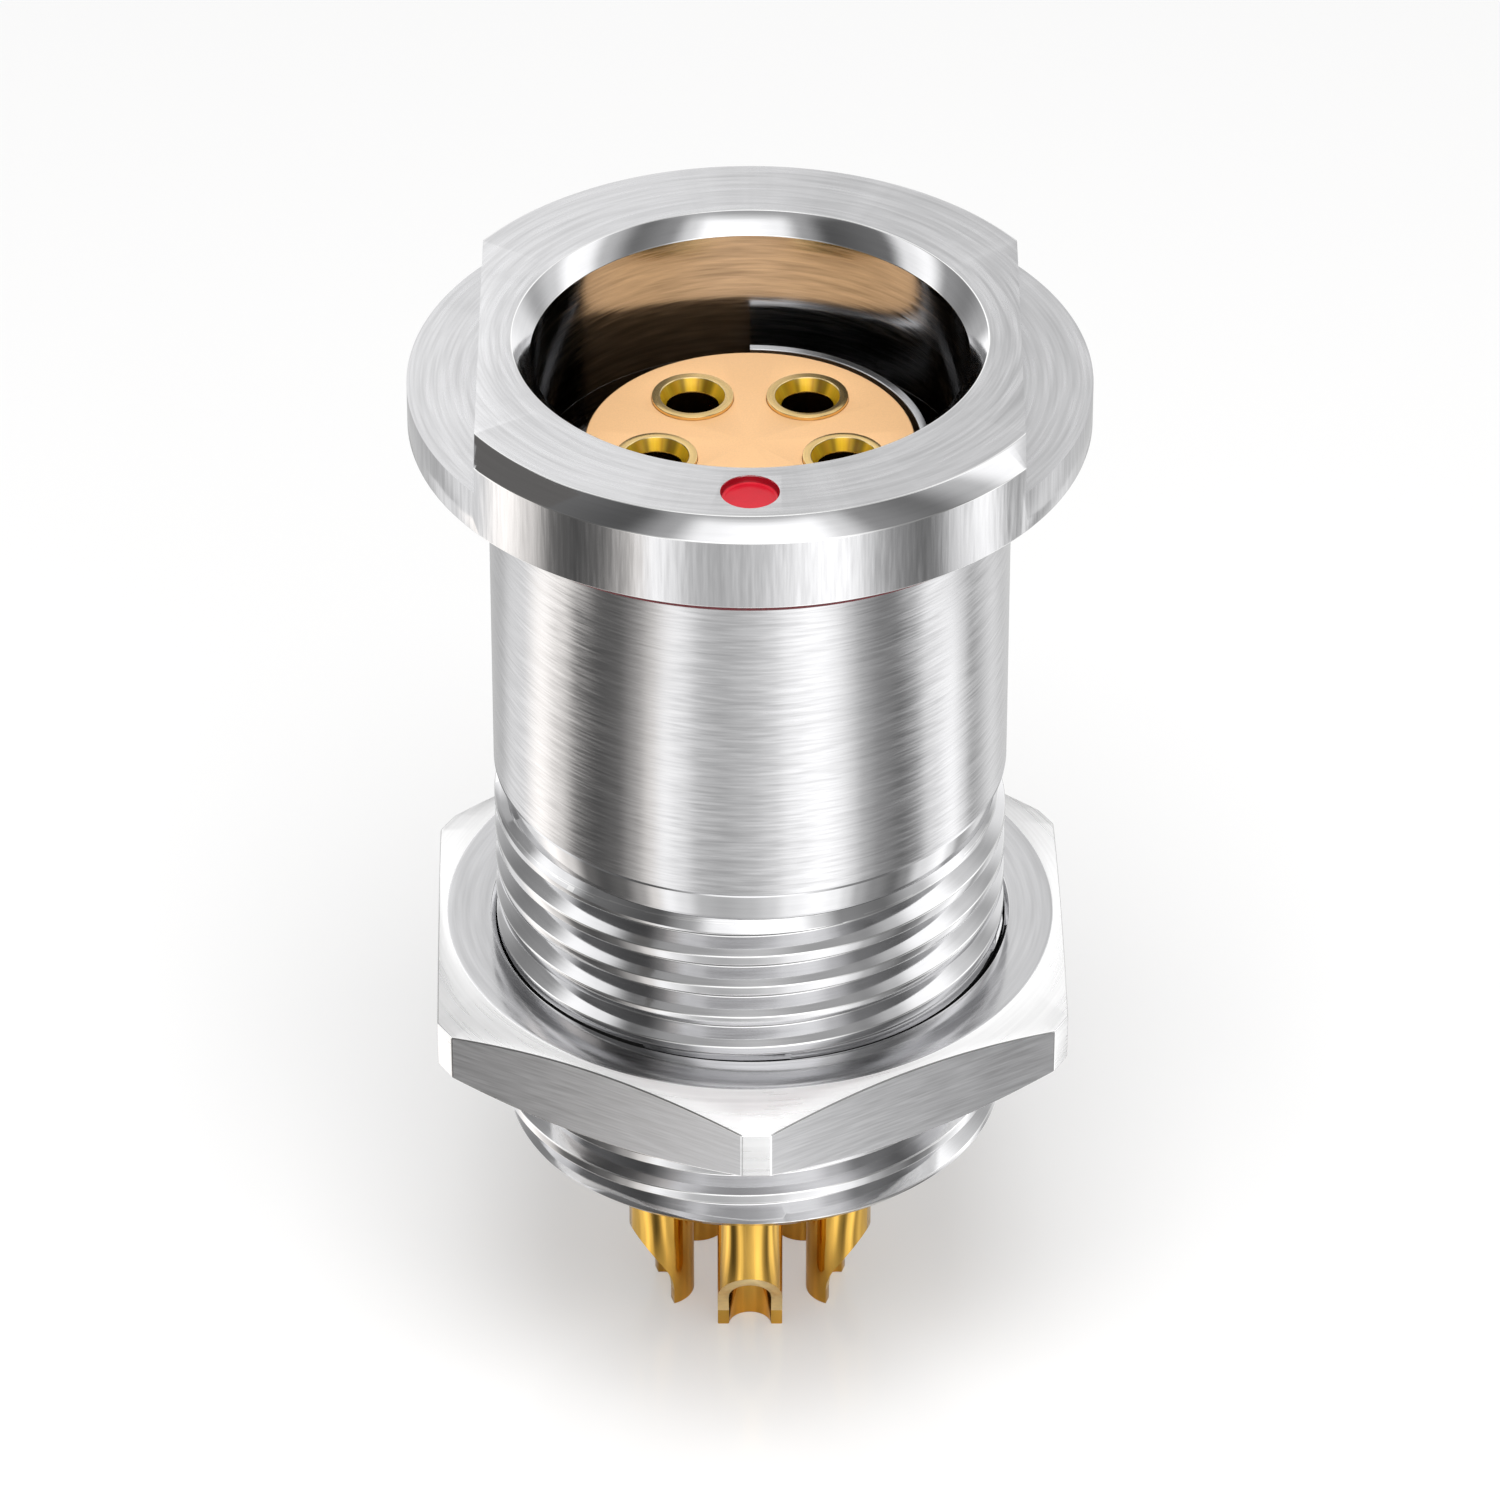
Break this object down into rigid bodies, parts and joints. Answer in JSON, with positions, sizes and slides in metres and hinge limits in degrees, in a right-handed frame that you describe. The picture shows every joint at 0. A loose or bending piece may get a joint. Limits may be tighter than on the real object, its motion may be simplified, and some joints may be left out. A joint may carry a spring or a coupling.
{
  "type": "push-pull panel receptacle",
  "caption": "Round panel-mount receptacle with a flange, red gasket, threaded barrel and hex nut, socket contacts in the mouth and solder cups behind.",
  "frame": {"origin": "on the axis, in the plane of the panel's front face, where the panel gasket seats", "axes": "+Z along the axis out of the mouth, towards the plug; -Y through the alignment dot; +X to the half-moon side of the carrier"},
  "size_m": [0.018, 0.0192, 0.031],
  "materials": {
    "shell_metal": "satin nickel and chrome plating over turned brass",
    "nut_metal": "satin nickel plating over brass, straight brushed sides",
    "gasket_rubber": "matt red silicone",
    "dot_enamel": "red enamel",
    "carrier_metal": "turned nickel plating",
    "seal_rubber": "black rubber",
    "crown_metal": "spring bronze, bare",
    "insulator_resin": "tan engineering resin, turned face",
    "contact_gold": "bright gold plating over turned brass",
    "hood_gold": "pale gold plating"
  },
  "bodies": {
    "receptacle": {"shell": "shell_metal", "panel_gasket": "gasket_rubber", "red_dot": "dot_enamel", "contact_carrier": "carrier_metal", "carrier_seal": "seal_rubber", "earth_crown": "crown_metal", "insulator_front": "insulator_resin", "insulator_rear": "insulator_resin", "retaining_ring": "carrier_metal", "contact_1": "contact_gold", "contact_2": "contact_gold", "contact_3": "contact_gold", "contact_4": "contact_gold", "contact_5": "contact_gold", "contact_hood_1": "hood_gold", "contact_hood_2": "hood_gold", "contact_hood_3": "hood_gold", "contact_hood_4": "hood_gold", "contact_hood_5": "hood_gold"},
    "nut": {"hex_nut": "nut_metal"}
  },
  "joints": [
    {"name": "nut_turn", "type": "hinge", "parent": "receptacle", "child": "nut", "pos_m": [0, 0, -0.01665], "axis": [0, 0, 1], "range_deg": [-1260, 1620]}
  ]
}
